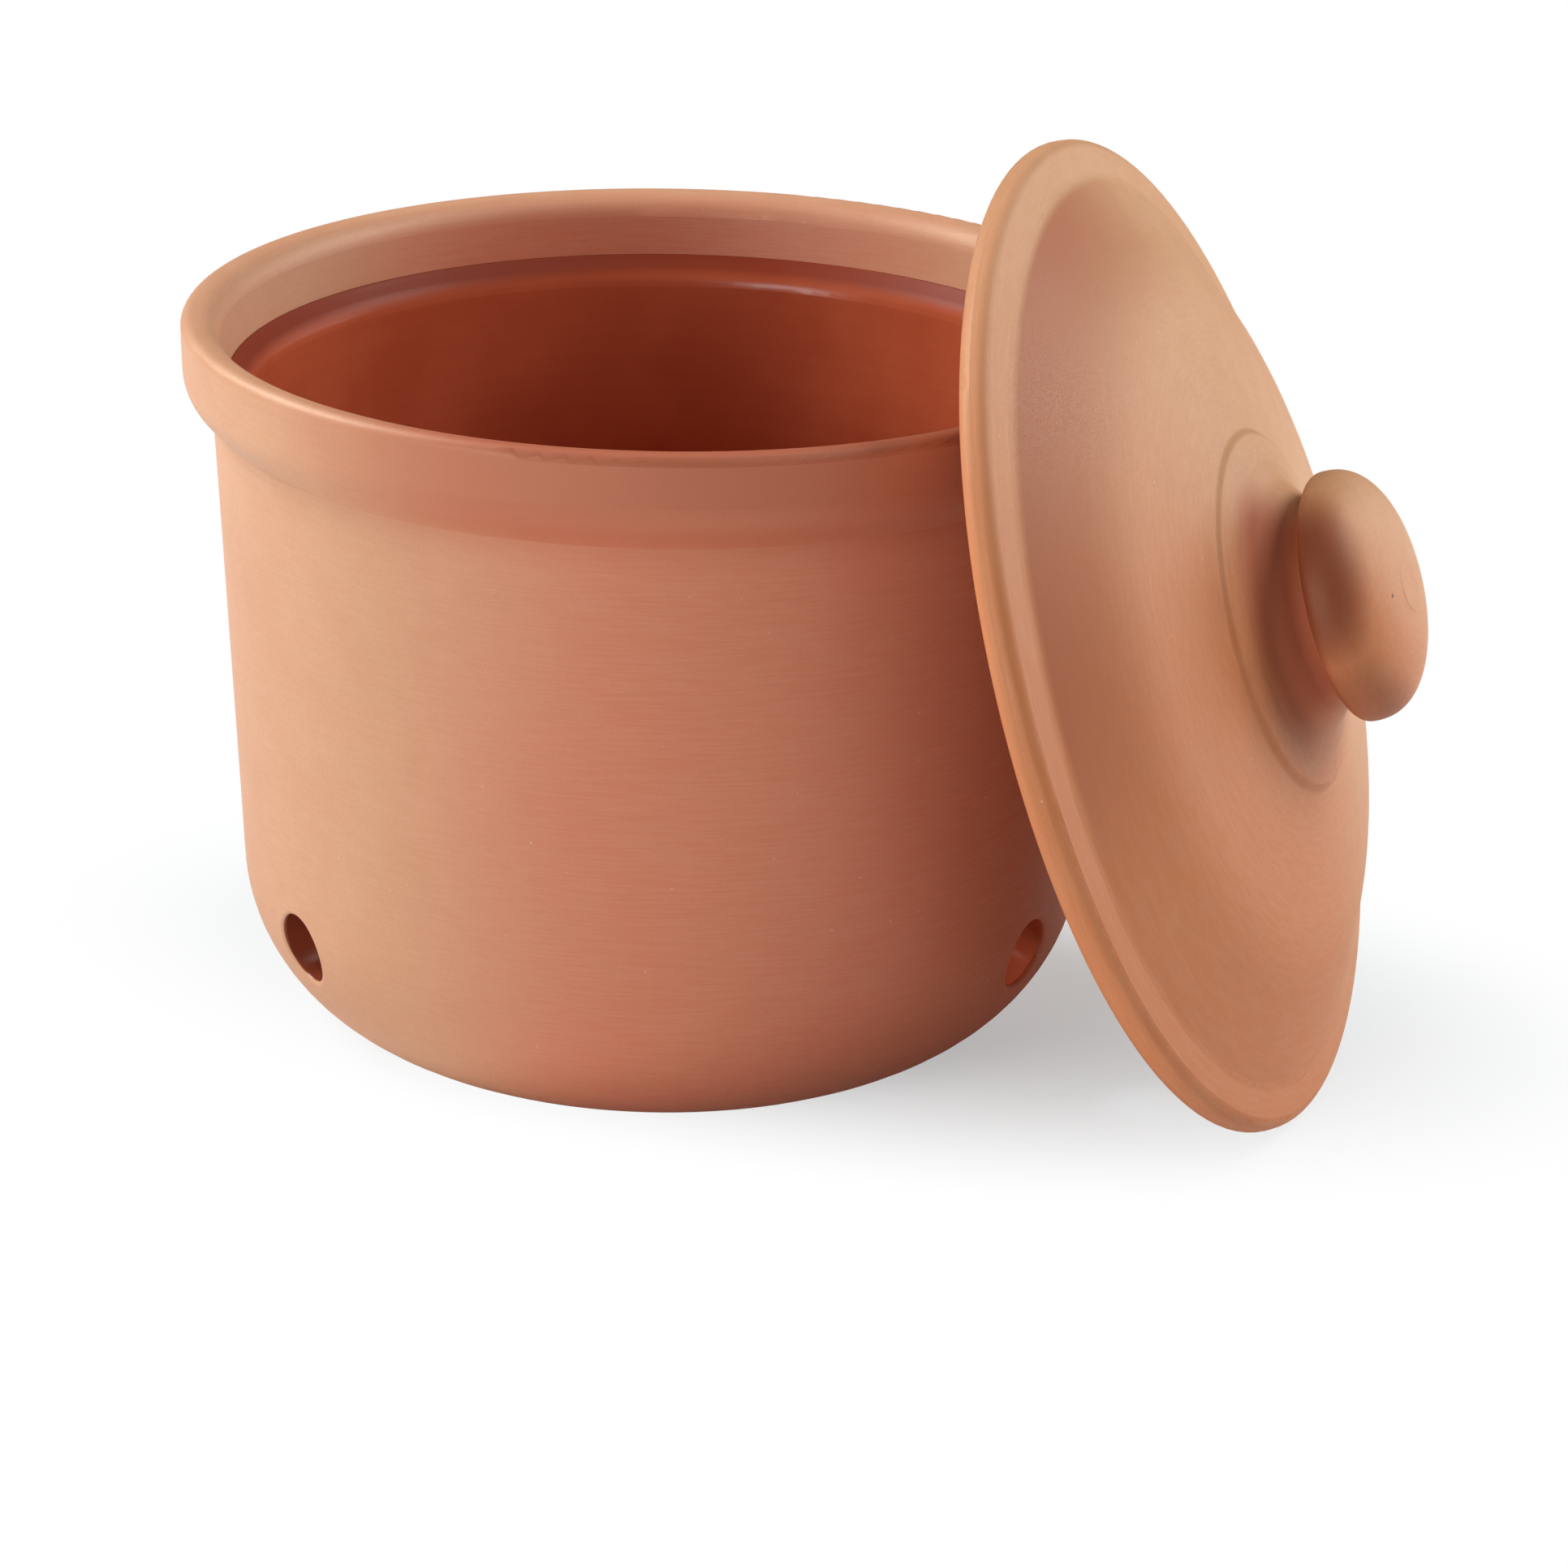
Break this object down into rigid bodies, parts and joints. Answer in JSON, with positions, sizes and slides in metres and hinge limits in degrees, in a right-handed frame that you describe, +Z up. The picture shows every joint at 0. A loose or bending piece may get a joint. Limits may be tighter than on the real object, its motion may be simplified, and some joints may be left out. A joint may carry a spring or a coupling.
{
  "type": "earthenware keeper",
  "caption": "Round earthenware keeper with a collared mouth, vents low in its wall and an inside glaze, its domed lid with a mushroom knob taken off and leaning on the rim.",
  "frame": {"origin": "centre of the flat foot that the pot stands on", "axes": "+Z up along the pot's axis; +X towards the side on which the lid leans; +Y to the left of it"},
  "size_m": [0.2863, 0.2252, 0.2133],
  "materials": {
    "earthenware": "unglazed, matte, with fine throwing lines",
    "glaze": "transparent brown glaze, gloss"
  },
  "bodies": {
    "pot": {"pot": "earthenware", "inner_glaze": "glaze"},
    "lid": {"lid": "earthenware", "knob": "earthenware"}
  },
  "joints": [
    {"name": "lid_lift", "type": "hinge", "parent": "pot", "child": "lid", "pos_m": [-0.064, 0, 0.10983], "axis": [0, -1, 0], "range_deg": [0, 70.6]}
  ]
}
